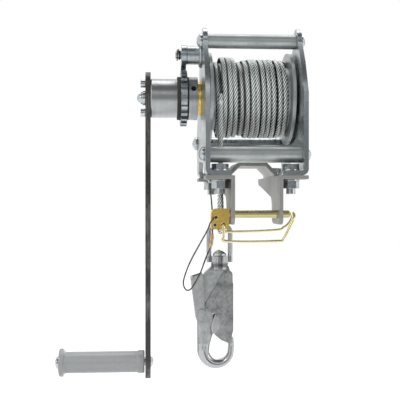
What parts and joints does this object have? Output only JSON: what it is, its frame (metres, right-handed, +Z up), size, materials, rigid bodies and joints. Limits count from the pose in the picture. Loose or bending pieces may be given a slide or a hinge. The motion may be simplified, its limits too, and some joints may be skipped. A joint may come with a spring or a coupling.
{
  "type": "winch",
  "caption": "Hand-cranked wire-rope winch with ratchet brake, tripod-leg bracket with lock pin, and swivel snap hook on the rope.",
  "frame": {"origin": "middle of the bracket web's flat underside, where the tripod leg sits", "axes": "+X along the shaft away from the crank, +Y to the rear, +Z up, away from the tripod leg"},
  "size_m": [0.2826, 0.158, 0.393],
  "materials": {
    "zinc_plate": "bluish zinc plating, satin, with mill marks",
    "bright_steel": "turned and plated bright steel",
    "dark_steel": "oiled dark steel",
    "warm_steel": "warm grey bent stainless sheet, satin",
    "yellow_zinc": "yellow passivated zinc plating",
    "wire_rope": "galvanised stranded wire, satin",
    "cast_zinc": "matt plated forging",
    "grip_plastic": "light grey moulded plastic",
    "brake_lining": "dark brake lining"
  },
  "bodies": {
    "frame": {"side_plate_left": "zinc_plate", "side_plate_right": "zinc_plate", "tie_rod_top": "bright_steel", "tie_rod_front": "bright_steel", "tie_rod_rear": "bright_steel", "tie_bolts": "bright_steel", "bracket": "warm_steel", "foot_bolts": "zinc_plate", "foot_washers": "bright_steel", "foot_nuts": "zinc_plate", "shaft_bush_left": "yellow_zinc", "shaft_bush_right": "yellow_zinc", "pawl_stud": "zinc_plate", "pawl_weld": "dark_steel", "pawl_clip": "dark_steel", "pawl_spring": "dark_steel", "lanyard_eyelet": "bright_steel", "hanging_rope": "wire_rope", "ferrule": "bright_steel", "eye_rope": "wire_rope", "thimble": "bright_steel"},
    "drive": {"drum": "zinc_plate", "drum_key": "dark_steel", "drive_shaft": "bright_steel", "shaft_circlip": "dark_steel", "rope_core": "wire_rope", "rope_winding": "wire_rope", "brake_collar": "bright_steel", "collar_screw": "dark_steel", "crank_nut": "bright_steel"},
    "ratchet": {"ratchet_wheel": "zinc_plate", "friction_disc_inner": "brake_lining", "friction_disc_outer": "brake_lining"},
    "crank": {"crank_hub": "dark_steel", "crank_arm": "dark_steel", "crank_screws": "bright_steel", "grip_spindle": "bright_steel", "grip_nut": "bright_steel"},
    "grip_body": {"grip": "grip_plastic"},
    "pawl_body": {"pawl": "dark_steel"},
    "pin": {"lock_pin": "yellow_zinc", "pin_block": "yellow_zinc", "lanyard": "dark_steel"},
    "bail_body": {"bail": "yellow_zinc"},
    "eye": {"swivel_eye": "cast_zinc"},
    "hook": {"swivel_bolt": "bright_steel", "hook_body": "cast_zinc", "gate_rivet": "bright_steel", "gate_spring": "dark_steel", "trigger_rivet": "bright_steel", "trigger_spring": "dark_steel"},
    "gate_body": {"gate": "cast_zinc"},
    "trigger_body": {"trigger": "cast_zinc"}
  },
  "joints": [
    {"name": "drum_spin", "type": "hinge", "parent": "frame", "child": "drive", "pos_m": [0, 0, 0.079], "axis": [1, 0, 0], "continuous": true},
    {"name": "crank_spin", "type": "hinge", "parent": "frame", "child": "crank", "pos_m": [-0.1, 0, 0.079], "axis": [1, 0, 0], "continuous": true},
    {"name": "ratchet_spin", "type": "hinge", "parent": "frame", "child": "ratchet", "pos_m": [-0.074, 0, 0.079], "axis": [1, 0, 0], "continuous": true},
    {"name": "grip_spin", "type": "hinge", "parent": "crank", "child": "grip_body", "pos_m": [-0.17, 0, -0.221], "axis": [1, 0, 0], "continuous": true},
    {"name": "pawl_swing", "type": "hinge", "parent": "frame", "child": "pawl_body", "pos_m": [-0.074, -0.012, 0.1264], "axis": [1, 0, 0], "range_deg": [0, 22], "stiffness_Nm_per_rad": 0.05, "springref_deg": -28.65},
    {"name": "pin_slide", "type": "slide", "parent": "frame", "child": "pin", "axis": [-1, 0, 0], "range_m": [0, 0.066]},
    {"name": "bail_swing", "type": "hinge", "parent": "pin", "child": "bail_body", "pos_m": [-0.035, -0.066, -0.0634], "axis": [0, 1, 0], "range_deg": [0, 95]},
    {"name": "hook_swing", "type": "hinge", "parent": "frame", "child": "eye", "pos_m": [-0.0365, -0.0426, -0.0652], "axis": [1, 0, 0], "range_deg": [0, 30]},
    {"name": "hook_swivel", "type": "hinge", "parent": "eye", "child": "hook", "pos_m": [-0.0365, -0.0426, -0.101], "axis": [0, 0, 1], "continuous": true},
    {"name": "gate_open", "type": "hinge", "parent": "hook", "child": "gate_body", "pos_m": [-0.0282, -0.0426, -0.1183], "axis": [0, 1, 0], "range_deg": [0, 14], "stiffness_Nm_per_rad": 0.05, "springref_deg": -28.65},
    {"name": "trigger_press", "type": "hinge", "parent": "hook", "child": "trigger_body", "pos_m": [-0.0565, -0.0426, -0.158], "axis": [0, 1, 0], "range_deg": [0, 7], "stiffness_Nm_per_rad": 0.05, "springref_deg": -28.65}
  ],
  "couplings": [
    {"joint": "crank_spin", "follows": "drum_spin", "ratio": 1},
    {"joint": "ratchet_spin", "follows": "drum_spin", "ratio": 1},
    {"joint": "bail_swing", "follows": "pin_slide", "rad_per_m": 24}
  ]
}
